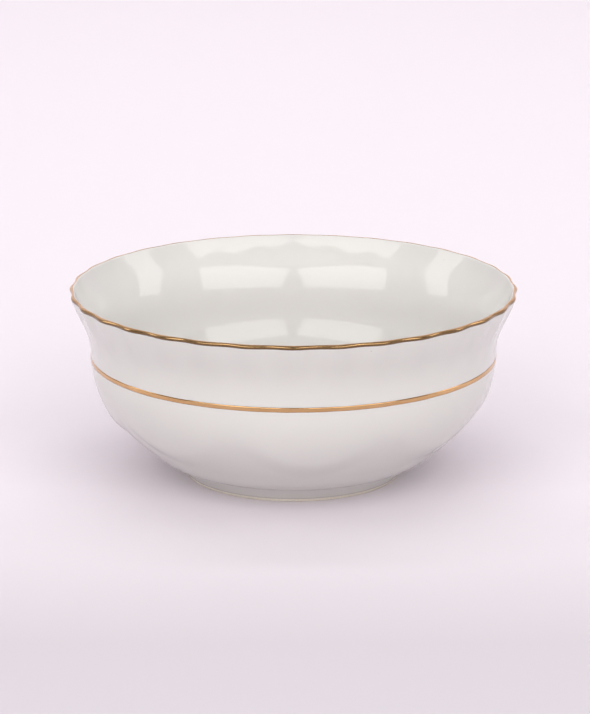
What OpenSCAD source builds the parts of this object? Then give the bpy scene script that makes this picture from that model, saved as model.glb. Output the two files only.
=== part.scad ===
// Porcelain serving bowl on a foot ring, with a scalloped gilt lip, a gilt waist line and eight petals.
// Every piece is turned about the Z axis. The origin is the middle of the ring that touches the table.

/* [Bowl] */
// Outer diameter across the lip, over the crests of its scallops
rim_d = 230; // [190:1:280]
// Height from the table to the top of the lip
bowl_h = 98; // [80:0.5:120]
// Outer diameter at the waist
waist_d = 209.2; // [172:0.2:252]
// Height of the waist above the table
waist_z = 63; // [52:0.5:76]
// Lean of the wall at the waist, outwards from upright
waist_lean = 2; // [0:0.5:8]
// Lean of the wall at the lip, outwards from upright
lip_lean = 17; // [8:0.5:26]
// Angle at which the wall springs from the foot, above level
spring_angle = 10; // [6:0.5:28]

/* [Curve of the wall] */
// Length of the curve's pull at the foot
pull_foot = 10; // [8:0.5:24]
// Length of the curve's pull below the waist
pull_below_waist = 34; // [20:0.5:36]
// Length of the curve's pull above the waist
pull_above_waist = 16; // [8:0.5:18]
// Length of the curve's pull below the lip
pull_lip = 13.5; // [6:0.5:16]

/* [Thickness] */
// Thickness of the glazed wall where it meets the foot
wall_t = 5.6; // [4.6:0.1:7]
// Thickness of the glazed lip, which is fully rounded
lip_t = 1.9; // [1.6:0.1:3]
// Thickness of the glazed floor at its middle
floor_t = 5.6; // [4.6:0.1:7]
// Thickness of the glaze
glaze_t = 0.3; // [0.2:0.05:0.35]
// Thickness of the gilding
gilding_t = 0.1; // [0.05:0.01:0.2]

/* [Lip scallops] */
// Number of scallops around the lip
scallop_count = 32; // [24:8:40]
// Depth of a scallop outside, from crest to valley
scallop_depth = 1.2; // [0:0.1:1.6]
// Depth of a scallop inside, from crest to valley
inner_scallop_depth = 0.3; // [0:0.1:0.6]
// Length of wall over which the scallops die out, outside
flute_run = 28; // [16:1:32]
// Length of wall over which the scallops die out, inside
inner_flute_run = 12; // [8:1:30]

/* [Petals] */
// Number of petals around the lower wall
petal_count = 8; // [6:1:10]
// How far a petal stands proud of the wall under it
petal_depth = 2.4; // [0:0.1:3]
// Gap from the waist down to where the creases start
crease_gap = 14; // [6:0.5:18]
// Height over which a crease deepens
crease_run = 26; // [10:0.5:30]
// Height of a petal's tip above the foot ring
petal_tip_gap = 13; // [10:0.5:18]
// Height of the round end of a petal
petal_arch_h = 28; // [14:0.5:32]
// Width of the soft edge of a petal, as a share of its half width
petal_softness = 0.38; // [0.15:0.01:0.5]

/* [Foot] */
// Height of the foot ring
foot_h = 8; // [6:0.5:10]
// Outer diameter of the foot ring at its top
foot_top_d = 123; // [110:0.5:140]
// Outer diameter of the foot ring at its toe
foot_toe_d = 111.6; // [100:0.2:120]
// Inner diameter of the foot ring at its toe
foot_inner_toe_d = 102; // [90:0.5:108]
// Diameter of the recess at its roof
recess_d = 100; // [84:0.5:106]
// Rounding of the toe's two edges
toe_round = 1; // [0.5:0.1:1.4]
// Height at which the glaze stops above the table
glaze_stop = 1.5; // [1.5:0.1:2.5]

/* [Gilding] */
// Width of the gilt line at the waist
line_w = 2.4; // [1.5:0.1:4]

/* [Hidden] */
// Radius of the lip at the mean of its scallops
rim_r = (rim_d - scallop_depth) / 2;
waist_r = waist_d / 2;
foot_top_r = foot_top_d / 2;
foot_toe_r = foot_toe_d / 2;
foot_inner_toe_r = foot_inner_toe_d / 2;
recess_r = recess_d / 2;

// Three steps to a scallop put a step on every valley, and so on every crease between petals.
steps = 3 * scallop_count;
step_angle = 360 / steps;
// The creases lie in valleys, half a scallop off the crests at 0 degrees
crease_angle = 2.5 * 360 / scallop_count;
lower_rings = 9;
upper_rings = 4;
lip_arcs = 4;
floor_rings = 2;
floor_place = 1;
round_fn = 96;

// The flat between the two curves of the wall, on which the gilt line lies
line_run = line_w / 2 * [sin(waist_lean), cos(waist_lean)];
waist = [waist_r, waist_z];
lip_middle = [rim_r - lip_t / 2, bowl_h - lip_t / 2];
lip_normal = [cos(lip_lean), -sin(lip_lean)];
lip_start = lip_middle + lip_t / 2 * lip_normal;

lower_curve = [
    [foot_top_r, foot_h],
    [foot_top_r, foot_h] + pull_foot * [cos(spring_angle), sin(spring_angle)],
    waist - line_run - pull_below_waist * [sin(waist_lean), cos(waist_lean)],
    waist - line_run
];
upper_curve = [
    waist + line_run,
    waist + line_run + pull_above_waist * [sin(waist_lean), cos(waist_lean)],
    lip_start - pull_lip * [sin(lip_lean), cos(lip_lean)],
    lip_start
];

petal_tip_z = foot_h + petal_tip_gap;
petal_shoulder_z = petal_tip_z + petal_arch_h;
crease_top_z = waist_z - crease_gap;
floor_z = foot_h + floor_t;

// Rises smoothly from 0 to 1 as x goes from 0 to 1
function ease(x) = let (k = max(0, min(1, x))) k * k * (3 - 2 * k);

// A point on a cubic curve with four control points, and the curve's direction there
function on_curve(c, t) =
    pow(1 - t, 3) * c[0] + 3 * pow(1 - t, 2) * t * c[1] + 3 * (1 - t) * t * t * c[2] + pow(t, 3) * c[3];
function along_curve(c, t) =
    let (d = pow(1 - t, 2) * (c[1] - c[0]) + 2 * (1 - t) * t * (c[2] - c[1]) + t * t * (c[3] - c[2]))
    d / norm(d);

// A place on the wall is [outer point, outward normal, wall thickness], all in the plane of r and z.
function place(c, t) =
    let (p = on_curve(c, t), d = along_curve(c, t), rise = (p[1] - foot_h) / (lip_start[1] - foot_h))
    [p, [d[1], -d[0]], wall_t + (lip_t - wall_t) * rise];
lower_places = [for (i = [0 : lower_rings]) place(lower_curve, i / lower_rings)];
upper_places = [for (i = [0 : upper_rings]) place(upper_curve, i / upper_rings)];
wall_places = concat(lower_places, upper_places);
wall_count = len(wall_places);

// The point of the wall at a depth under its outer face
function under(p, depth) = p[0] - depth * p[1];
// The point of the wall at a depth under its inner face
function inside(p, depth) = p[0] - (p[2] - depth) * p[1];

// How far a lip scallop pushes the wall out, and how far the wall lies back between and under petals
function scallop(z, a, depth, run) =
    depth / 2 * cos(scallop_count * a) * ease((z - lip_start[1]) / run + 1);
function petal_place(a) =
    let (turn = (a - crease_angle) * petal_count / 360) abs(2 * (turn - floor(turn)) - 1);
function petal_inset(z, a) =
    let (
        arch = max(0, (petal_shoulder_z - z) / petal_arch_h),
        edge = 1 - norm([petal_place(a), arch]),
        opens = ease((crease_top_z - z) / crease_run),
        closes = ease((z - foot_h) / petal_tip_gap)
    )
    petal_depth * (1 - ease(edge / petal_softness)) * opens * closes;

// One ring of points about the axis, from a point [r, z] and the relief taken at each angle
function turned(p, relief) =
    [
        for (i = [0 : steps - 1])
        let (a = (i + 0.5) * step_angle, r = p[0] + relief[i])
        [r * cos(a), r * sin(a), p[1]]
    ];
function flat_relief() = [for (i = [0 : steps - 1]) 0];
function outer_relief(z) =
    [
        for (i = [0 : steps - 1])
        let (a = (i + 0.5) * step_angle)
        scallop(z, a, scallop_depth, flute_run) - petal_inset(z, a)
    ];
function inner_relief(z) =
    [
        for (i = [0 : steps - 1])
        let (a = (i + 0.5) * step_angle)
        scallop(z, a, inner_scallop_depth, inner_flute_run)
    ];
// Over the lip the scallops go from the outer depth to the inner one, as the turn goes from 0 to 180 degrees.
function lip_relief(turn) =
    let (outer = outer_relief(lip_start[1]), inner = inner_relief(lip_start[1]), k = (1 - cos(turn)) / 2)
    (1 - k) * outer + k * inner;

// Rings of the outer face, of the rounded lip and of the inner face, at a depth under the glazed surface
function outer_rings(depth, first) =
    [
        for (i = [first : wall_count - 1])
        turned(under(wall_places[i], depth), outer_relief(wall_places[i][0][1]))
    ];
function lip_rings(depth) =
    [
        for (i = [1 : lip_arcs - 1])
        let (turn = i * 180 / lip_arcs, a = turn - lip_lean)
        turned(lip_middle + (lip_t / 2 - depth) * [cos(a), sin(a)], lip_relief(turn))
    ];
function inner_rings(depth) =
    [
        for (i = [wall_count - 1 : -2 : floor_place + 1])
        turned(inside(wall_places[i], depth), inner_relief(wall_places[i][0][1]))
    ];
// The floor is a shallow dish whose edge is the inner face of one place on the wall.
function floor_rings_at(depth) =
    let (edge = inside(wall_places[floor_place], depth), middle_z = floor_z - depth)
    [
        for (i = [floor_rings : -1 : 1])
        let (k = i / floor_rings)
        turned([edge[0] * k, middle_z + (edge[1] - middle_z) * k * k], flat_relief())
    ];
function all_rings(depth, first) =
    concat(outer_rings(depth, first), lip_rings(depth), inner_rings(depth), floor_rings_at(depth));

// The outer side of the foot ring's biscuit at a height, and a ring that stands just clear around it
function foot_side(z) =
    let (k = (z - toe_round) / (foot_h - toe_round)) foot_toe_r - glaze_t + (foot_top_r - foot_toe_r) * k;
function around_foot(z, depth) =
    turned([(foot_side(z) + glaze_t - depth) / cos(180 / steps), z], flat_relief());

// Two triangles between neighbours a and b on one ring and c and d on the next. They are split from the
// lower ring's first point, so that two pieces which share a face are split alike.
function split(rings, k, next, a, b, c, d) =
    rings[k][0][2] < rings[next][0][2] ? [[a, c, d], [a, d, b]] : [[a, c, b], [b, c, d]];

// A closed solid from rings of points, which runs from one point on the axis to another
module domed_solid(rings, first_pole, last_pole) {
    n = len(rings);
    points = [for (ring = rings) each ring, first_pole, last_pole];
    first = n * steps;
    walls = [
        for (k = [0 : n - 2], i = [0 : steps - 1])
        let (a = k * steps + i, b = k * steps + (i + 1) % steps)
        each split(rings, k, k + 1, a, b, a + steps, b + steps)
    ];
    first_cap = [for (i = [0 : steps - 1]) [first, i, (i + 1) % steps]];
    last_cap = [
        for (i = [0 : steps - 1])
        [first + 1, (n - 1) * steps + (i + 1) % steps, (n - 1) * steps + i]
    ];
    polyhedron(points, concat(walls, first_cap, last_cap), convexity = 6);
}

// A closed solid from rings of points, whose last ring joins its first
module hoop_solid(rings) {
    n = len(rings);
    points = [for (ring = rings) each ring];
    walls = [
        for (k = [0 : n - 1], i = [0 : steps - 1])
        let (j = (i + 1) % steps, next = (k + 1) % n)
        each split(rings, k, next, k * steps + i, k * steps + j, next * steps + i, next * steps + j)
    ];
    polyhedron(points, walls, convexity = 6);
}

// Fired porcelain wall and floor, between the two faces of the glaze
module porcelain_body() {
    rings = concat([around_foot(foot_h, glaze_t)], all_rings(glaze_t, 1));
    color("#f4f2ec") domed_solid(rings, [0, 0, foot_h], [0, 0, floor_z - glaze_t]);
}

// Turned porcelain ring that is stuck under the wall with slip, and whose bare toe stands on the table
module foot_ring() {
    arc = 90 / 6;
    outer_toe = [
        for (a = [0 : arc : 90])
        [foot_toe_r - glaze_t - toe_round * (1 - cos(a)), toe_round * (1 - sin(a))]
    ];
    inner_toe = [
        for (a = [90 : -arc : 0])
        [foot_inner_toe_r + toe_round * (1 - cos(a)), toe_round * (1 - sin(a))]
    ];
    outline = concat([[foot_top_r - glaze_t, foot_h]], outer_toe, inner_toe, [[recess_r, foot_h]]);
    color("#e6ddcf") rotate_extrude($fn = round_fn) polygon(outline);
}

// Glaze over the inside, the lip, the outside and the outer side of the foot ring
module glaze_coat() {
    skin = concat([around_foot(glaze_stop, 0), around_foot(foot_h, 0)], all_rings(0, 1));
    bed = concat([around_foot(glaze_stop, glaze_t), around_foot(foot_h, glaze_t)], all_rings(glaze_t, 1));
    n = len(bed);
    loop = concat([for (i = [n - 1 : -1 : 0]) bed[i]], skin);
    color("#fbfaf6") domed_solid(loop, [0, 0, floor_z - glaze_t], [0, 0, floor_z]);
}

// Glaze over the roof and the side of the recess inside the foot ring
module recess_glaze() {
    k = (glaze_stop - toe_round) / (foot_h - toe_round);
    low_r = foot_inner_toe_r + (recess_r - foot_inner_toe_r) * k;
    outline = [
        [0, foot_h],
        [recess_r, foot_h],
        [low_r, glaze_stop],
        [low_r - glaze_t, glaze_stop],
        [recess_r - glaze_t, foot_h - glaze_t],
        [0, foot_h - glaze_t]
    ];
    color("#f8f6f0") rotate_extrude($fn = round_fn) polygon(outline);
}

// Fired gold over the outer side and the crest of the lip
module rim_gilding() {
    last = wall_places[wall_count - 1];
    outer = turned(under(last, 0), outer_relief(lip_start[1]));
    proud_outer = turned(under(last, -gilding_t), outer_relief(lip_start[1]));
    bed = concat([outer], lip_rings(0));
    face = concat([proud_outer], lip_rings(-gilding_t));
    n = len(bed);
    color("#c99a4e") hoop_solid(concat([for (i = [n - 1 : -1 : 0]) bed[i]], face));
}

// Fired gold line around the waist
module waist_gilding() {
    low = wall_places[lower_rings];
    high = wall_places[lower_rings + 1];
    color("#c99a4e")
    hoop_solid([
        turned(under(high, 0), flat_relief()),
        turned(under(low, 0), flat_relief()),
        turned(under(low, -gilding_t), flat_relief()),
        turned(under(high, -gilding_t), flat_relief())
    ]);
}

porcelain_body();
foot_ring();
glaze_coat();
recess_glaze();
rim_gilding();
waist_gilding();
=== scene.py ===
import math

import bpy
from bpy.props import FloatProperty, FloatVectorProperty, IntProperty, PointerProperty
from mathutils import Matrix, Vector, noise


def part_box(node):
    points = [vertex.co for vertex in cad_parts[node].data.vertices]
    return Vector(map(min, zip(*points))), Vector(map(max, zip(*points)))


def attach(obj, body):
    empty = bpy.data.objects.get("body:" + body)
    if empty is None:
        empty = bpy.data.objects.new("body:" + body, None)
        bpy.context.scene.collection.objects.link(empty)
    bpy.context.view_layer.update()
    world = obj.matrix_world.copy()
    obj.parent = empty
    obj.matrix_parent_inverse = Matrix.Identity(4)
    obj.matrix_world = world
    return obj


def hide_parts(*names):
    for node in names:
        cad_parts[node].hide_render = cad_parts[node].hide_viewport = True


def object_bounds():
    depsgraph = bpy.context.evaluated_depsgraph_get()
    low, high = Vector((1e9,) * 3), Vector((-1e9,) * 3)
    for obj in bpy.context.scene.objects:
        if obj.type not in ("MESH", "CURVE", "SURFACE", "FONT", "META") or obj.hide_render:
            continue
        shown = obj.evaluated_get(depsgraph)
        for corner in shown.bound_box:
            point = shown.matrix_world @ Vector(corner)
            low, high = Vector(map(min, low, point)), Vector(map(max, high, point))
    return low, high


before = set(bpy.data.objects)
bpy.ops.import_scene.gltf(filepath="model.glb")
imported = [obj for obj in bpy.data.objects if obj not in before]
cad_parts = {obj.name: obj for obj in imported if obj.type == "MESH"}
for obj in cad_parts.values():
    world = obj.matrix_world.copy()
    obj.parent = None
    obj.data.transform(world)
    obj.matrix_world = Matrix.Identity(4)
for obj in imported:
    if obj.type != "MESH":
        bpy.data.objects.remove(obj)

bl_info = {
    "name": "Gilt Porcelain Serving Bowl",
    "version": (1, 0, 0),
    "blender": (4, 5, 0),
    "location": "3D View > Sidebar > Bowl",
    "description": "Builds a scalloped porcelain serving bowl, its glaze, its gilding and a small photo studio",
    "category": "Object",
}

BODY = "root"
CAD_LOW, CAD_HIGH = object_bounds()
FOOT_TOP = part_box("foot_ring")[1].z
WAIST_MIDDLE = sum(corner.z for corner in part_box("waist_gilding")) / 2
MM = 0.001


def length(name, description, default):
    return FloatProperty(name=name, description=description, default=default, subtype="DISTANCE", unit="LENGTH")


def angle(name, description, degrees):
    return FloatProperty(
        name=name, description=description, default=math.radians(degrees), subtype="ANGLE", unit="ROTATION"
    )


def share(name, description, default):
    return FloatProperty(name=name, description=description, default=default, subtype="FACTOR", min=0, max=1)


def colour(name, description, default):
    return FloatVectorProperty(name=name, description=description, default=default, subtype="COLOR", min=0, max=1)


class BowlShape(bpy.types.PropertyGroup):
    """Sizes of the porcelain"""

    rim_radius: length("Rim radius", "Outer radius of the lip at the crests of its scallops", 115 * MM)
    height: length("Height", "Height of the lip above the table", CAD_HIGH.z)
    waist_radius: length("Waist radius", "Outer radius at the waist", 104.6 * MM)
    waist_height: length("Waist height", "Height of the waist above the table", WAIST_MIDDLE)
    waist_lean: angle("Waist lean", "Lean of the wall at the waist, outwards from upright", 2)
    lip_lean: angle("Lip lean", "Lean of the wall at the lip, outwards from upright", 17)
    spring_angle: angle("Spring angle", "Angle at which the wall springs from the foot, above level", 10)
    pull_foot: length("Pull at the foot", "Length of the curve's pull at the foot", 10 * MM)
    pull_below_waist: length("Pull below the waist", "Length of the curve's pull below the waist", 34 * MM)
    pull_above_waist: length("Pull above the waist", "Length of the curve's pull above the waist", 16 * MM)
    pull_lip: length("Pull below the lip", "Length of the curve's pull below the lip", 13.5 * MM)
    wall: length("Wall", "Thickness of the glazed wall where it meets the foot", 5.6 * MM)
    lip: length("Lip", "Thickness of the glazed lip, which is fully rounded", 1.9 * MM)
    floor: length("Floor", "Thickness of the glazed floor at its middle", 5.6 * MM)
    glaze: length("Glaze", "Thickness of the glaze", 0.3 * MM)
    foot_height: length("Foot height", "Height of the foot ring", FOOT_TOP)
    foot_top_radius: length("Foot top radius", "Outer radius of the foot ring where the wall springs", 61.5 * MM)
    foot_toe_radius: length("Foot toe radius", "Outer radius of the foot ring at its toe", 55.8 * MM)
    foot_inner_radius: length("Foot inner radius", "Inner radius of the foot ring at its toe", 51 * MM)
    recess_radius: length("Recess radius", "Radius of the recess at its roof", 50 * MM)
    toe_round: length("Toe rounding", "Rounding of the toe's two edges", 1 * MM)
    glaze_stop: length("Glaze stop", "Height at which the glaze stops above the table", 1.5 * MM)
    corner_pool: length("Corner pool", "Radius of the glaze that pools in the corner over the foot", 1.6 * MM)


class BowlRelief(bpy.types.PropertyGroup):
    """Scallops and petals pressed into the wall"""

    scallop_count: IntProperty(name="Scallops", description="Number of scallops around the lip", default=32, min=3)
    scallop_depth: length("Scallop depth", "Depth of a scallop outside, from crest to valley", 1.2 * MM)
    inner_depth: length("Inner scallop depth", "Depth of a scallop inside, from crest to valley", 0.3 * MM)
    flute_run: length("Flute run", "Length of wall over which the scallops die out, outside", 28 * MM)
    inner_flute_run: length("Inner flute run", "Length of wall over which the scallops die out, inside", 12 * MM)
    petal_count: IntProperty(name="Petals", description="Number of petals around the lower wall", default=8, min=3)
    petal_depth: length("Petal depth", "How far a petal stands proud of the wall under it", 2.4 * MM)
    crease_gap: length("Crease gap", "Gap from the waist down to where the creases start", 14 * MM)
    crease_run: length("Crease run", "Height over which a crease deepens", 26 * MM)
    petal_tip_gap: length("Petal tip gap", "Height of a petal's tip above the foot ring", 13 * MM)
    petal_arch: length("Petal arch", "Height of the round end of a petal", 28 * MM)
    petal_softness: share("Petal softness", "Width of a petal's soft edge, as a share of its half width", 0.38)


class BowlFinish(bpy.types.PropertyGroup):
    """Colours and finishes"""

    porcelain: colour("Porcelain", "White of the glazed porcelain", (0.60, 0.579, 0.555))
    # This colour marks where the glaze lies thicker at random, and is also painted into the petals' creases as
    # painted shade
    shade: colour("Shade", "White where the glaze lies thicker", (0.56, 0.539, 0.515))
    speck: colour("Speck", "Pin marks in the glaze", (0.42, 0.38, 0.33))
    biscuit: colour("Biscuit", "Bare fired porcelain", (0.72, 0.66, 0.57))
    gold: colour("Gold", "Fired gold", (0.72, 0.45, 0.22))
    deep_gold: colour("Deep gold", "Fired gold where it was brushed thicker", (0.54, 0.31, 0.13))
    # Painted dark reflection: the dark room mirrored in the outer side of the lip is painted into the gold's
    # colour
    dark_reflection_gold: colour("Burnt gold", "Fired gold along the outer side of the lip", (0.22, 0.135, 0.06))
    glaze_roughness: share("Glaze roughness", "Roughness of the glaze", 0.06)
    gold_roughness: share("Gold roughness", "Roughness of the gold", 0.2)
    gold_thickness: length("Gold thickness", "Thickness of the fired gold", 0.1 * MM)
    line_width: length("Line width", "Width of the gilt line at the waist", 2.4 * MM)


class BowlStudio(bpy.types.PropertyGroup):
    """Camera, floor and lamps"""

    distance: length("Camera distance", "Distance from the camera to the bowl's axis", 1.794)
    elevation: angle("Camera elevation", "Height of the camera above level", 15.7)
    aim_height: length("Aim height", "Height on the axis that the camera looks at", 60.6 * MM)
    lens: FloatProperty(name="Lens", description="Focal length in millimetres", default=174.9)
    shift: FloatProperty(name="Shift", description="Sideways shift of the lens", default=0.0022)
    floor: colour("Floor", "Pale floor and backdrop", (0.695, 0.642, 0.683))
    near_floor: share("Near floor", "Brightness of the floor toward the camera, against the rest", 0.75)
    fade_start: length("Fade start", "Where the floor starts to darken, in front of the bowl's axis", 40 * MM)
    fade_end: length("Fade end", "Where the floor is darkest, in front of the bowl's axis", 260 * MM)
    room_front: share("Room front", "Brightness of the room on the camera's side", 0.06)
    room_back: share("Room back", "Brightness of the room behind the bowl", 0.5)


GROUPS = {
    "bowl_shape": BowlShape,
    "bowl_relief": BowlRelief,
    "bowl_finish": BowlFinish,
    "bowl_studio": BowlStudio,
}


# ---------------------------------------------------------------- outline of the wall


def polar(reach, turn):
    return Vector((reach * math.cos(turn), reach * math.sin(turn)))


def ease(x):
    k = max(0.0, min(1.0, x))
    return k * k * (3 - 2 * k)


def on_curve(c, t):
    s = 1 - t
    return s**3 * c[0] + 3 * s * s * t * c[1] + 3 * s * t * t * c[2] + t**3 * c[3]


def along_curve(c, t):
    s = 1 - t
    return (s * s * (c[1] - c[0]) + 2 * s * t * (c[2] - c[1]) + t * t * (c[3] - c[2])).normalized()


class Wall:
    """The outline of the wall in the plane of r and z, as two curves that meet at the waist"""

    LOWER_STEPS, UPPER_STEPS, LIP_STEPS, FLOOR_STEPS = 46, 18, 10, 9
    FLOOR_PLACE = 5

    def __init__(self, shape, relief, line_width):
        self.shape, self.relief = shape, relief
        upright = math.pi / 2
        waist = Vector((shape.waist_radius, shape.waist_height))
        at_waist = polar(1, upright - shape.waist_lean)
        at_lip = polar(1, upright - shape.lip_lean)
        half_line = line_width / 2 * at_waist
        self.foot_corner = Vector((shape.foot_top_radius, shape.foot_height))
        mean_radius = shape.rim_radius - relief.scallop_depth / 2
        self.lip_middle = Vector((mean_radius - shape.lip / 2, shape.height - shape.lip / 2))
        self.lip_outwards = polar(1, -shape.lip_lean)
        self.lip_start = self.lip_middle + shape.lip / 2 * self.lip_outwards
        self.lower = [
            self.foot_corner,
            self.foot_corner + polar(shape.pull_foot, shape.spring_angle),
            waist - half_line - shape.pull_below_waist * at_waist,
            waist - half_line,
        ]
        self.upper = [
            waist + half_line,
            waist + half_line + shape.pull_above_waist * at_waist,
            self.lip_start - shape.pull_lip * at_lip,
            self.lip_start,
        ]
        lower = [self.place(self.lower, i / self.LOWER_STEPS) for i in range(self.LOWER_STEPS + 1)]
        upper = [self.place(self.upper, i / self.UPPER_STEPS) for i in range(self.UPPER_STEPS + 1)]
        self.places = lower + upper
        self.waist_places = [self.places[self.LOWER_STEPS], self.places[self.LOWER_STEPS + 1]]
        self.floor_height = shape.foot_height + shape.floor

    def place(self, curve, t):
        """The outer point, the outward normal and the wall's thickness at t along a curve"""
        point, way = on_curve(curve, t), along_curve(curve, t)
        rise = (point.y - self.shape.foot_height) / (self.lip_start.y - self.shape.foot_height)
        return point, Vector((way.y, -way.x)), self.shape.wall + (self.shape.lip - self.shape.wall) * rise

    def outside(self, depth):
        """The outer face from just over the foot up to the lip, at a depth under the glazed surface"""
        return [point - depth * normal for point, normal, _ in self.places[1:]]

    def over_lip(self, depth):
        """The rounded lip, from its outer side to its inner side"""
        turns = [i * math.pi / self.LIP_STEPS - self.shape.lip_lean for i in range(1, self.LIP_STEPS)]
        return [self.lip_middle + polar(self.shape.lip / 2 - depth, turn) for turn in turns]

    def inside(self, depth):
        """The inner face from the lip down to the floor's edge, which is a little above the foot"""
        places = reversed(self.places[self.FLOOR_PLACE :])
        return [point - (thick - depth) * normal for point, normal, thick in places]

    def floor_line(self, depth):
        """The floor, a shallow dish from its edge to the axis"""
        edge = self.inside(depth)[-1]
        middle = self.floor_height - depth
        shares = [i / self.FLOOR_STEPS for i in reversed(range(self.FLOOR_STEPS))]
        return [Vector((edge.x * k, middle + (edge.y - middle) * k * k)) for k in shares]

    def foot_side(self, z, depth):
        """The outer side of the foot ring at a height"""
        shape = self.shape
        k = (z - shape.toe_round) / (shape.foot_height - shape.toe_round)
        return Vector((shape.foot_toe_radius - depth + (shape.foot_top_radius - shape.foot_toe_radius) * k, z))


def rounded_corner(before, corner, after, radius, steps):
    """Points of an arc that rounds a corner of an outline"""
    a, b = (before - corner).normalized(), (after - corner).normalized()
    half = a.angle(b) / 2
    reach = radius / math.tan(half)
    middle = corner + (a + b).normalized() * radius / math.sin(half)
    start, end = corner + a * reach - middle, corner + b * reach - middle
    sweep = start.angle_signed(end)
    return [middle + Matrix.Rotation(-sweep * i / steps, 2) @ start for i in range(steps + 1)]


# ---------------------------------------------------------------- relief of the wall


def scallop(wall, z, turn, depth, run):
    """How far a scallop pushes the wall out, most at the lip and less down the wall"""
    fade = ease((z - wall.lip_start.y) / run + 1)
    return depth / 2 * math.cos(wall.relief.scallop_count * turn) * fade


def inner_share(wall, r, z, faces_out):
    """0 on the outer face, 1 on the inner face, and in between over the rounded lip"""
    if z < wall.lip_start.y:
        return 0.0 if faces_out else 1.0
    across = (Vector((r, z)) - wall.lip_middle).dot(wall.lip_outwards) / (wall.shape.lip / 2)
    return (1 - max(-1.0, min(1.0, across))) / 2


def petal_share(wall, z, turn):
    """How deep the wall lies beside or under a petal, from 0 on the petal to 1"""
    shape, relief = wall.shape, wall.relief
    crease_turn = 2.5 * math.tau / relief.scallop_count
    part = (turn - crease_turn) * relief.petal_count / math.tau
    place = abs(2 * (part - math.floor(part)) - 1)
    tip = shape.foot_height + relief.petal_tip_gap
    arch = max(0.0, (tip + relief.petal_arch - z) / relief.petal_arch)
    edge = 1 - math.hypot(place, arch)
    opens = ease((shape.waist_height - relief.crease_gap - z) / relief.crease_run)
    closes = ease((z - shape.foot_height) / relief.petal_tip_gap)
    return (1 - ease(edge / relief.petal_softness)) * opens * closes


def press_relief(piece, wall):
    """Moves each point of the wall straight out from the axis or towards it, as the scallops and petals ask.

    The share of a crease is kept on the mesh, and the glaze's colour is darkened by it as painted shade in the
    creases.
    """
    relief = wall.relief
    mesh = piece.data
    # The crease share stored here darkens the glaze's colour as painted shade in the creases
    pool = mesh.attributes.new("pool", "FLOAT", "POINT")
    moves = []
    for vertex in mesh.vertices:
        out = Vector((vertex.co.x, vertex.co.y, 0))
        turn, r, z = math.atan2(out.y, out.x), out.length, vertex.co.z
        out.normalize()
        faces_out = vertex.normal.dot(out) > 0.1
        inner = inner_share(wall, r, z, faces_out)
        crease = petal_share(wall, z, turn) if faces_out else 0.0
        outer_move = scallop(wall, z, turn, relief.scallop_depth, relief.flute_run)
        inner_move = scallop(wall, z, turn, relief.inner_depth, relief.inner_flute_run)
        moves.append(out * ((1 - inner) * outer_move + inner * inner_move - relief.petal_depth * crease))
        pool.data[vertex.index].value = crease
    for vertex, move in zip(mesh.vertices, moves):
        vertex.co += move


# ---------------------------------------------------------------- modelling by hand


def deselect():
    bpy.ops.object.select_all(action="DESELECT")


def draw_outline(name, points, closed=False):
    """Draws a chain of edges through points of r and z, from one vertex on."""
    deselect()
    bpy.ops.mesh.primitive_plane_add(size=MM, location=(0, 0, 0))
    piece = bpy.context.object
    piece.name = piece.data.name = name
    bpy.ops.object.mode_set(mode="EDIT")
    bpy.ops.mesh.select_all(action="SELECT")
    bpy.ops.mesh.merge(type="CENTER")
    bpy.ops.transform.translate(value=(points[0].x, 0, points[0].y))
    for here, there in zip(points, points[1:]):
        step = there - here
        bpy.ops.mesh.extrude_region_move(TRANSFORM_OT_translate={"value": (step.x, 0, step.y)})
    if closed:
        step = points[0] - points[-1]
        bpy.ops.mesh.extrude_region_move(TRANSFORM_OT_translate={"value": (step.x, 0, step.y)})
        bpy.ops.mesh.select_all(action="SELECT")
        bpy.ops.mesh.remove_doubles(threshold=1e-6)
    bpy.ops.object.mode_set(mode="OBJECT")
    return piece


def spin(piece, steps):
    """Turns the outline round the bowl's axis, closes the seam and the poles, and faces it outwards."""
    bpy.ops.object.mode_set(mode="EDIT")
    bpy.ops.mesh.select_all(action="SELECT")
    bpy.ops.mesh.spin(steps=steps, angle=math.tau, center=(0, 0, 0), axis=(0, 0, 1))
    bpy.ops.mesh.select_all(action="SELECT")
    bpy.ops.mesh.remove_doubles(threshold=1e-6)
    bpy.ops.mesh.normals_make_consistent(inside=False)
    bpy.ops.object.mode_set(mode="OBJECT")
    bpy.ops.object.shade_smooth()


def face(piece, vertex, way):
    """Turns an open sheet over if a vertex of it looks away from a direction."""
    if vertex.normal.dot(Vector(way)) < 0:
        bpy.ops.object.mode_set(mode="EDIT")
        bpy.ops.mesh.select_all(action="SELECT")
        bpy.ops.mesh.flip_normals()
        bpy.ops.object.mode_set(mode="OBJECT")


def face_the_lip_up(piece):
    face(piece, max(piece.data.vertices, key=lambda v: v.co.z), (0, 0, 1))


def thicken(piece, thickness, outwards):
    """Gives a sheet its thickness, under its face or over it."""
    bpy.ops.object.modifier_add(type="SOLIDIFY")
    solid = piece.modifiers[-1]
    solid.thickness = thickness
    solid.offset = 1 if outwards else -1
    solid.use_even_offset = True
    bpy.ops.object.modifier_apply(modifier=solid.name)


def hand_in(piece, node, material):
    """Puts a finished piece in place of its CAD node, with its finish."""
    if not piece.data.polygons:
        raise RuntimeError(f"{piece.name} has no faces")
    piece.data.materials.clear()
    piece.data.materials.append(material)
    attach(piece, BODY)
    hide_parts(node)


# ---------------------------------------------------------------- finishes


def new_material(name):
    material = bpy.data.materials.new(name)
    material.use_nodes = True
    tree = material.node_tree
    return material, tree, tree.nodes["Principled BSDF"]


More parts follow.
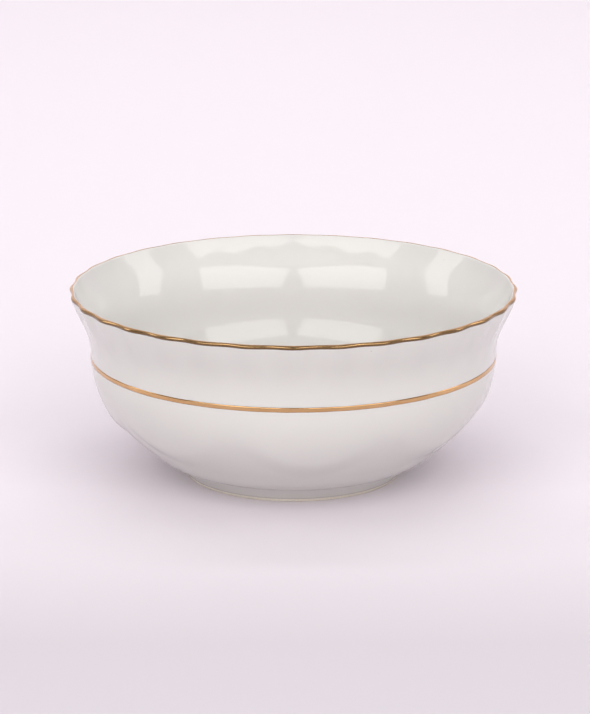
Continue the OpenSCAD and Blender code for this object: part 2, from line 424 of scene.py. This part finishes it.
def add_node(tree, kind, inputs=(), **settings):
    """Adds a node with settings and inputs, where an input is a value or a socket to link from."""
    made = tree.nodes.new(kind)
    for name, value in settings.items():
        setattr(made, name, value)
    for name, value in dict(inputs).items():
        if isinstance(value, bpy.types.NodeSocket):
            tree.links.new(value, made.inputs[name])
        else:
            made.inputs[name].default_value = value
    return made


def object_place(tree):
    return add_node(tree, "ShaderNodeTexCoord").outputs["Object"]


def patches(tree, place, scale, detail=3.0):
    """Soft cloudy noise from 0 to 1"""
    return add_node(tree, "ShaderNodeTexNoise", {"Vector": place, "Scale": scale, "Detail": detail}).outputs["Fac"]


def spread(tree, value, low, high, to_low, to_high):
    """Maps a value from one range to another, and holds it there."""
    made = add_node(
        tree,
        "ShaderNodeMapRange",
        {"Value": value, "From Min": low, "From Max": high, "To Min": to_low, "To Max": to_high},
    )
    return made.outputs["Result"]


def mixed(tree, factor, first, second):
    """Mixes two colours, each given as a colour or as a socket."""
    made = add_node(tree, "ShaderNodeMix", data_type="RGBA")
    for name, value in (("Factor", factor), ("A", first), ("B", second)):
        socket = next(s for s in made.inputs if s.name == name and (s.type == "RGBA") == (name != "Factor"))
        if isinstance(value, bpy.types.NodeSocket):
            tree.links.new(value, socket)
        else:
            socket.default_value = (*value, 1) if name != "Factor" else value
    return next(s for s in made.outputs if s.type == "RGBA")


def calculated(tree, operation, first, second=0.0):
    """One step of arithmetic on values or sockets"""
    made = add_node(tree, "ShaderNodeMath", operation=operation)
    for socket, value in zip(made.inputs, (first, second)):
        if isinstance(value, bpy.types.NodeSocket):
            tree.links.new(value, socket)
        else:
            socket.default_value = value
    return made.outputs[0]


def bumped(tree, height, distance, strength=1.0, under=None):
    """A normal raised by a height, over another bump if one is given"""
    inputs = {"Height": height, "Distance": distance, "Strength": strength}
    if under is not None:
        inputs["Normal"] = under
    return add_node(tree, "ShaderNodeBump", inputs).outputs["Normal"]


def glaze_material(finish):
    """Clear glossy glaze over white porcelain, a little uneven, with a few pin marks and painted shade in the
    petals' creases
    """
    material, tree, shader = new_material("glazed porcelain")
    place = object_place(tree)
    cloud = spread(tree, patches(tree, place, 14.0), 0.35, 0.65, 0.0, 0.35)
    # Painted shade: the colour moves toward the shade colour in the creases, by half the crease share; the cloud
    # is random thicker glaze
    painted_crease_shade = add_node(tree, "ShaderNodeAttribute", attribute_name="pool").outputs["Fac"]
    thick = calculated(tree, "MAXIMUM", cloud, calculated(tree, "MULTIPLY", painted_crease_shade, 0.5))
    white = mixed(tree, thick, finish.porcelain, finish.shade)
    pins = add_node(tree, "ShaderNodeTexVoronoi", {"Vector": place, "Scale": 95.0})
    near = spread(tree, pins.outputs["Distance"], 0.02, 0.035, 1.0, 0.0)
    rare = spread(tree, patches(tree, place, 60.0, 0.0), 0.66, 0.7, 0.0, 1.0)
    marks = calculated(tree, "MULTIPLY", near, rare)
    tree.links.new(mixed(tree, marks, white, finish.speck), shader.inputs["Base Color"])
    smooth, hazy = finish.glaze_roughness * 0.7, finish.glaze_roughness * 1.5
    smear = spread(tree, patches(tree, place, 30.0), 0.3, 0.7, smooth, hazy)
    tree.links.new(smear, shader.inputs["Roughness"])
    waves = bumped(tree, patches(tree, place, 45.0, 1.0), 0.00035, 0.25)
    fine = bumped(tree, patches(tree, place, 260.0, 2.0), 0.00004, 0.35, waves)
    pitted = bumped(tree, calculated(tree, "MULTIPLY", marks, -1.0), 0.0002, 0.6, fine)
    tree.links.new(pitted, shader.inputs["Normal"])
    shader.inputs["IOR"].default_value = 1.5
    shader.inputs["Subsurface Weight"].default_value = 0.12
    shader.inputs["Subsurface Radius"].default_value = (1.0, 0.85, 0.7)
    shader.inputs["Subsurface Scale"].default_value = 0.0015
    return material


def gold_material(finish):
    """Thin bright gold, brushed round the bowl by hand, with a painted dark reflection along the outer side of the
    lip
    """
    material, tree, shader = new_material("fired gold")
    place = object_place(tree)
    axes = add_node(tree, "ShaderNodeSeparateXYZ", {"Vector": place})
    turn = calculated(tree, "ARCTAN2", axes.outputs["Y"], axes.outputs["X"])
    streaks_at = add_node(
        tree,
        "ShaderNodeCombineXYZ",
        {
            "X": calculated(tree, "SINE", turn),
            "Y": calculated(tree, "COSINE", turn),
            "Z": calculated(tree, "MULTIPLY", axes.outputs["Z"], 260.0),
        },
    ).outputs["Vector"]
    streaks = patches(tree, streaks_at, 9.0, 4.0)
    thick = patches(tree, place, 70.0)
    fill = spread(tree, calculated(tree, "ADD", streaks, thick), 0.75, 1.25, 0.0, 0.6)
    # Painted dark reflection: the lip's gold is darkened up to just under its crest, and the waist line is left
    # bright
    between, crest = (WAIST_MIDDLE + CAD_HIGH.z) / 2, CAD_HIGH.z
    over_waist = spread(tree, axes.outputs["Z"], between, between + MM, 0.0, 1.0)
    under_crest = spread(tree, axes.outputs["Z"], crest - 0.9 * MM, crest - 0.3 * MM, 1.0, 0.0)
    dark_reflection_band = calculated(tree, "MULTIPLY", over_waist, under_crest)
    plain = mixed(tree, fill, finish.gold, finish.deep_gold)
    tree.links.new(mixed(tree, dark_reflection_band, plain, finish.dark_reflection_gold), shader.inputs["Base Color"])
    rough = spread(tree, streaks, 0.3, 0.7, finish.gold_roughness * 0.7, finish.gold_roughness * 1.4)
    tree.links.new(rough, shader.inputs["Roughness"])
    tree.links.new(bumped(tree, streaks, 0.00003, 0.5), shader.inputs["Normal"])
    shader.inputs["Metallic"].default_value = 1.0
    return material


def biscuit_material(finish):
    """Bare fired porcelain, fine and matt, with a few grains of kiln sand"""
    material, tree, shader = new_material("bare porcelain")
    place = object_place(tree)
    grain = patches(tree, place, 900.0, 4.0)
    wash = patches(tree, place, 24.0)
    darker = tuple(c * 0.82 for c in finish.biscuit)
    tone = spread(tree, calculated(tree, "ADD", grain, wash), 0.7, 1.4, 0.0, 1.0)
    base = mixed(tree, tone, finish.biscuit, darker)
    sand = add_node(tree, "ShaderNodeTexVoronoi", {"Vector": place, "Scale": 420.0}).outputs["Distance"]
    grains = spread(tree, sand, 0.05, 0.12, 0.5, 0.0)
    tree.links.new(mixed(tree, grains, base, finish.speck), shader.inputs["Base Color"])
    tree.links.new(spread(tree, grain, 0.2, 0.8, 0.65, 0.95), shader.inputs["Roughness"])
    tree.links.new(bumped(tree, grain, 0.00005, 0.8), shader.inputs["Normal"])
    return material


def floor_material(studio):
    """Plain pale paper, on which the light falls off a little toward the camera"""
    material, tree, shader = new_material("pale paper")
    place = object_place(tree)
    grain = patches(tree, place, 120.0)
    darker = tuple(c * 0.985 for c in studio.floor)
    nearer = tuple(c * studio.near_floor for c in studio.floor)
    depth = add_node(tree, "ShaderNodeSeparateXYZ", {"Vector": place}).outputs["Y"]
    paper = mixed(tree, grain, studio.floor, darker)
    near = spread(tree, depth, -studio.fade_start, -studio.fade_end, 0.0, 1.0)
    tree.links.new(mixed(tree, near, paper, nearer), shader.inputs["Base Color"])
    shader.inputs["Roughness"].default_value = 0.75
    shader.inputs["Specular IOR Level"].default_value = 0.2
    return material


# ---------------------------------------------------------------- pieces

# Steps round the axis, for pieces that show and for the body, which the glaze hides
FINE_TURN = 288
HIDDEN_TURN = 192
CORNER_STEPS = 8
FINISHES = {}


def finish_named(name, make, settings):
    """Makes each finish once, and hands the same one to every piece that has it."""
    if name not in FINISHES:
        FINISHES[name] = make(settings)
    return FINISHES[name]


class PieceOperator:
    """What every piece's operator shares"""

    bl_options = {"REGISTER", "UNDO"}

    def settings(self, context):
        scene = context.scene
        wall = Wall(scene.bowl_shape, scene.bowl_relief, scene.bowl_finish.line_width)
        return scene.bowl_shape, scene.bowl_finish, wall


class BOWL_OT_porcelain_body(PieceOperator, bpy.types.Operator):
    """Turns the wall and floor of fired porcelain and presses the scallops and petals into it"""

    bl_idname = "bowl.porcelain_body"
    bl_label = "Porcelain Body"

    def execute(self, context):
        shape, finish, wall = self.settings(context)
        depth = shape.glaze
        under_foot = [Vector((0, shape.foot_height)), wall.foot_side(shape.foot_height, depth)]
        line = wall.outside(depth) + wall.over_lip(depth) + wall.inside(depth) + wall.floor_line(depth)
        piece = draw_outline("bowl_wall", under_foot + line)
        spin(piece, HIDDEN_TURN)
        press_relief(piece, wall)
        hand_in(piece, "porcelain_body", finish_named("biscuit", biscuit_material, finish))
        return {"FINISHED"}


class BOWL_OT_foot_ring(PieceOperator, bpy.types.Operator):
    """Turns the foot ring, with its rounded bare toe"""

    bl_idname = "bowl.foot_ring"
    bl_label = "Foot Ring"

    def execute(self, context):
        shape, finish, wall = self.settings(context)
        top = wall.foot_side(shape.foot_height, shape.glaze)
        side = wall.foot_side(shape.toe_round * 2, shape.glaze)
        outer_toe = Vector((shape.foot_toe_radius - shape.glaze, 0))
        inner_toe = Vector((shape.foot_inner_radius, 0))
        inner_side = Vector((shape.foot_inner_radius, shape.toe_round * 2))
        roof = Vector((shape.recess_radius, shape.foot_height))
        sides = [top.lerp(side, i / 6) for i in range(6)]
        outer_round = rounded_corner(side, outer_toe, inner_toe, shape.toe_round, CORNER_STEPS)
        inner_round = rounded_corner(outer_toe, inner_toe, inner_side, shape.toe_round, CORNER_STEPS)
        piece = draw_outline("turned_foot", sides + outer_round + inner_round + [roof], closed=True)
        spin(piece, FINE_TURN)
        hand_in(piece, "foot_ring", finish_named("biscuit", biscuit_material, finish))
        return {"FINISHED"}


class BOWL_OT_glaze_coat(PieceOperator, bpy.types.Operator):
    """Lays the main glaze over the inside, the lip, the outside and the side of the foot"""

    bl_idname = "bowl.glaze_coat"
    bl_label = "Main Glaze"

    def execute(self, context):
        shape, finish, wall = self.settings(context)
        low = wall.foot_side(shape.glaze_stop, 0)
        corner = wall.foot_side(shape.foot_height, 0)
        outside = wall.outside(0)
        pool = rounded_corner(low, corner, outside[0], shape.corner_pool, CORNER_STEPS)
        side = [low.lerp(pool[0], i / 5) for i in range(5)]
        outside = [p for p in outside if p.x > pool[-1].x + shape.glaze]
        line = side + pool + outside + wall.over_lip(0) + wall.inside(0) + wall.floor_line(0)
        piece = draw_outline("main_glaze", line)
        spin(piece, FINE_TURN)
        face_the_lip_up(piece)
        press_relief(piece, wall)
        thicken(piece, shape.glaze, outwards=False)
        hand_in(piece, "glaze_coat", finish_named("glaze", glaze_material, finish))
        return {"FINISHED"}


class BOWL_OT_recess_glaze(PieceOperator, bpy.types.Operator):
    """Lays the glaze over the roof and side of the recess inside the foot ring"""

    bl_idname = "bowl.recess_glaze"
    bl_label = "Recess Glaze"

    def execute(self, context):
        shape, finish, _ = self.settings(context)
        k = (shape.glaze_stop - shape.toe_round) / (shape.foot_height - shape.toe_round)
        low = Vector((shape.foot_inner_radius, 0)).lerp(Vector((shape.recess_radius, 0)), k)
        low = Vector((low.x - shape.glaze, shape.glaze_stop))
        roof = shape.foot_height - shape.glaze
        corner = Vector((shape.recess_radius - shape.glaze, roof))
        middle = Vector((0, roof))
        pool = rounded_corner(low, corner, middle, shape.corner_pool, CORNER_STEPS)
        side = [low.lerp(pool[0], i / 4) for i in range(4)]
        across = [pool[-1].lerp(middle, i / 8) for i in range(1, 9)]
        piece = draw_outline("recess_glaze_skin", side + pool + across)
        spin(piece, FINE_TURN)
        face(piece, min(piece.data.vertices, key=lambda v: v.co.xy.length), (0, 0, -1))
        thicken(piece, shape.glaze, outwards=False)
        hand_in(piece, "recess_glaze", finish_named("glaze", glaze_material, finish))
        return {"FINISHED"}


class BOWL_OT_rim_gilding(PieceOperator, bpy.types.Operator):
    """Brushes gold over the outer side and the crest of the lip"""

    bl_idname = "bowl.rim_gilding"
    bl_label = "Rim Gilding"
    START, LIP_POINTS = 0.3, 7

    def execute(self, context):
        _, finish, wall = self.settings(context)
        below, edge = wall.outside(0)[-2:]
        line = [edge.lerp(below, self.START), edge] + wall.over_lip(0)[: self.LIP_POINTS]
        piece = draw_outline("lip_gold", line)
        spin(piece, FINE_TURN)
        face_the_lip_up(piece)
        press_relief(piece, wall)
        thicken(piece, finish.gold_thickness, outwards=True)
        hand_in(piece, "rim_gilding", finish_named("gold", gold_material, finish))
        return {"FINISHED"}


class BOWL_OT_waist_gilding(PieceOperator, bpy.types.Operator):
    """Bands the waist with a gold line, whose edges waver as a brushed line does"""

    bl_idname = "bowl.waist_gilding"
    bl_label = "Waist Gilding"
    WAVER, WAVES = 0.12 * MM, 14.0

    def execute(self, context):
        shape, finish, wall = self.settings(context)
        low, high = (place[0] for place in wall.waist_places)
        piece = draw_outline("waist_gold", [low.lerp(high, i / 4) for i in range(5)])
        spin(piece, FINE_TURN)
        face(piece, max(piece.data.vertices, key=lambda v: v.co.x), (1, 0, 0))
        for vertex in piece.data.vertices:
            edge = (vertex.co.z - shape.waist_height) / (finish.line_width / 2)
            out = vertex.co.xy.normalized() * self.WAVES
            vertex.co.z += self.WAVER * edge * noise.noise(Vector((out.x, out.y, 5 * edge)))
        thicken(piece, finish.gold_thickness, outwards=True)
        hand_in(piece, "waist_gilding", finish_named("gold", gold_material, finish))
        return {"FINISHED"}


# ---------------------------------------------------------------- stage


def point_at(thing, target):
    thing.rotation_euler = (Vector(target) - thing.location).to_track_quat("-Z", "Y").to_euler()


# Name, place, width and height, brightness of the face, where it points and whether the glaze mirrors it.
# Two boxes at the front and one at each side show in the glaze. The wide sheets further out only fill.
LAMPS = (
    ("left_box", (-0.95, -1.55, 0.76), (1.8, 1.06), 2.7, (0, 0, 0.05), True),
    ("right_box", (0.95, -1.55, 0.76), (1.8, 1.06), 2.7, (0, 0, 0.05), True),
    ("left_screen", (-1.7, 0.15, 0.62), (0.5, 0.9), 2.2, (0, 0, 0.05), True),
    ("right_screen", (1.7, 0.15, 0.62), (0.5, 0.9), 2.2, (0, 0, 0.05), True),
    ("front_sheet", (0, -4.46, 4.01), (6.4, 3.0), 1.9, (0, 0, 0), False),
    ("left_sheet", (-3.75, -1.99, 4.24), (6.4, 3.0), 1.2, (0, 0, 0), False),
    ("right_sheet", (3.75, -1.99, 4.24), (6.4, 3.0), 1.2, (0, 0, 0), False),
    ("overhead", (0, -0.2, 1.9), (1.2, 1.0), 1.5, (0, 0, 0), False),
    ("back_wash", (0, 0.9, 2.3), (3.0, 1.0), 4.4, (0, 2.6, 0.7), False),
)


def add_lamp(name, place, size, glow, target, mirrored):
    """Adds a rectangular lamp whose face glows evenly."""
    deselect()
    bpy.ops.object.light_add(type="AREA", location=place)
    lamp = bpy.context.object
    lamp.name = name
    lamp.data.shape = "RECTANGLE"
    lamp.data.size, lamp.data.size_y = size
    lamp.data.energy = glow * math.pi * size[0] * size[1]
    lamp.visible_glossy = mirrored
    point_at(lamp, Vector(target))


class BOWL_OT_stage(bpy.types.Operator):
    """Sets up the pale floor, the soft lamps and the camera"""

    bl_idname = "bowl.stage"
    bl_label = "Studio"
    bl_options = {"REGISTER", "UNDO"}

    # Half the sheet's width, how far it lies behind the bowl, the radius of its sweep and the rise after it
    HALF, BEHIND, SWEEP, RISE, ARCS = 2.5, 1.6, 0.9, 3.0, 12

    def floor(self, studio):
        """A sheet that runs back from the bowl and sweeps up behind it"""
        deselect()
        bpy.ops.mesh.primitive_plane_add(size=2 * self.HALF, location=(0, self.BEHIND - self.HALF, 0))
        floor = bpy.context.object
        floor.name = "paper_sweep"
        bpy.ops.object.transform_apply(location=True, rotation=True, scale=True)
        for vertex in floor.data.vertices:
            vertex.select = vertex.co.y > 0
        for edge in floor.data.edges:
            edge.select = all(floor.data.vertices[i].select for i in edge.vertices)
        for face in floor.data.polygons:
            face.select = False
        bpy.ops.object.mode_set(mode="EDIT")
        arc = math.pi / 2 / self.ARCS
        step = self.SWEEP * arc
        for i in range(self.ARCS):
            turn = (i + 0.5) * arc
            move = (0, step * math.cos(turn), step * math.sin(turn))
            bpy.ops.mesh.extrude_region_move(TRANSFORM_OT_translate={"value": move})
        bpy.ops.mesh.extrude_region_move(TRANSFORM_OT_translate={"value": (0, 0, self.RISE)})
        bpy.ops.object.mode_set(mode="OBJECT")
        bpy.ops.object.shade_smooth()
        floor.data.materials.append(floor_material(studio))

    def camera(self, context, studio):
        deselect()
        away = Vector((0, -math.cos(studio.elevation), math.sin(studio.elevation))) * studio.distance
        target = Vector((0, 0, studio.aim_height))
        bpy.ops.object.camera_add(location=target + away)
        camera = bpy.context.object
        point_at(camera, target)
        camera.data.lens = studio.lens
        camera.data.shift_x = studio.shift
        context.scene.camera = camera

    def world(self, context, studio):
        """A dim room, darker on the camera's side"""
        world = bpy.data.worlds.new("soft room")
        world.use_nodes = True
        tree = world.node_tree
        direction = add_node(tree, "ShaderNodeTexCoord").outputs["Generated"]
        back = add_node(tree, "ShaderNodeSeparateXYZ", {"Vector": direction}).outputs["Y"]
        background = tree.nodes["Background"]
        background.inputs["Color"].default_value = (1, 0.985, 1, 1)
        strength = spread(tree, back, -0.6, 0.4, studio.room_front, studio.room_back)
        tree.links.new(strength, background.inputs["Strength"])
        context.scene.world = world

    def execute(self, context):
        studio = context.scene.bowl_studio
        self.floor(studio)
        self.world(context, studio)
        for lamp in LAMPS:
            add_lamp(*lamp)
        self.camera(context, studio)
        context.scene.view_settings.view_transform = "Standard"
        return {"FINISHED"}


# ---------------------------------------------------------------- panel and registration

OPERATORS = (
    BOWL_OT_porcelain_body,
    BOWL_OT_foot_ring,
    BOWL_OT_glaze_coat,
    BOWL_OT_recess_glaze,
    BOWL_OT_rim_gilding,
    BOWL_OT_waist_gilding,
    BOWL_OT_stage,
)


class BOWL_PT_panel(bpy.types.Panel):
    """Sizes, finishes and the buttons that build each piece"""

    bl_idname = "BOWL_PT_panel"
    bl_label = "Porcelain Bowl"
    bl_space_type = "VIEW_3D"
    bl_region_type = "UI"
    bl_category = "Bowl"

    def draw(self, context):
        column = self.layout.column()
        for operator in OPERATORS:
            column.operator(operator.bl_idname)
        for group, kind in GROUPS.items():
            box = self.layout.box()
            box.label(text=kind.__doc__)
            for name in kind.__annotations__:
                box.prop(getattr(context.scene, group), name)


def register():
    for kind in (*GROUPS.values(), *OPERATORS, BOWL_PT_panel):
        bpy.utils.register_class(kind)
    for name, kind in GROUPS.items():
        setattr(bpy.types.Scene, name, PointerProperty(type=kind))


def unregister():
    for name in GROUPS:
        delattr(bpy.types.Scene, name)
    for kind in reversed((*GROUPS.values(), *OPERATORS, BOWL_PT_panel)):
        bpy.utils.unregister_class(kind)


def main():
    register()
    bpy.ops.bowl.porcelain_body()
    bpy.ops.bowl.foot_ring()
    bpy.ops.bowl.glaze_coat()
    bpy.ops.bowl.recess_glaze()
    bpy.ops.bowl.rim_gilding()
    bpy.ops.bowl.waist_gilding()
    bpy.ops.bowl.stage()


if __name__ == "__main__":
    main()
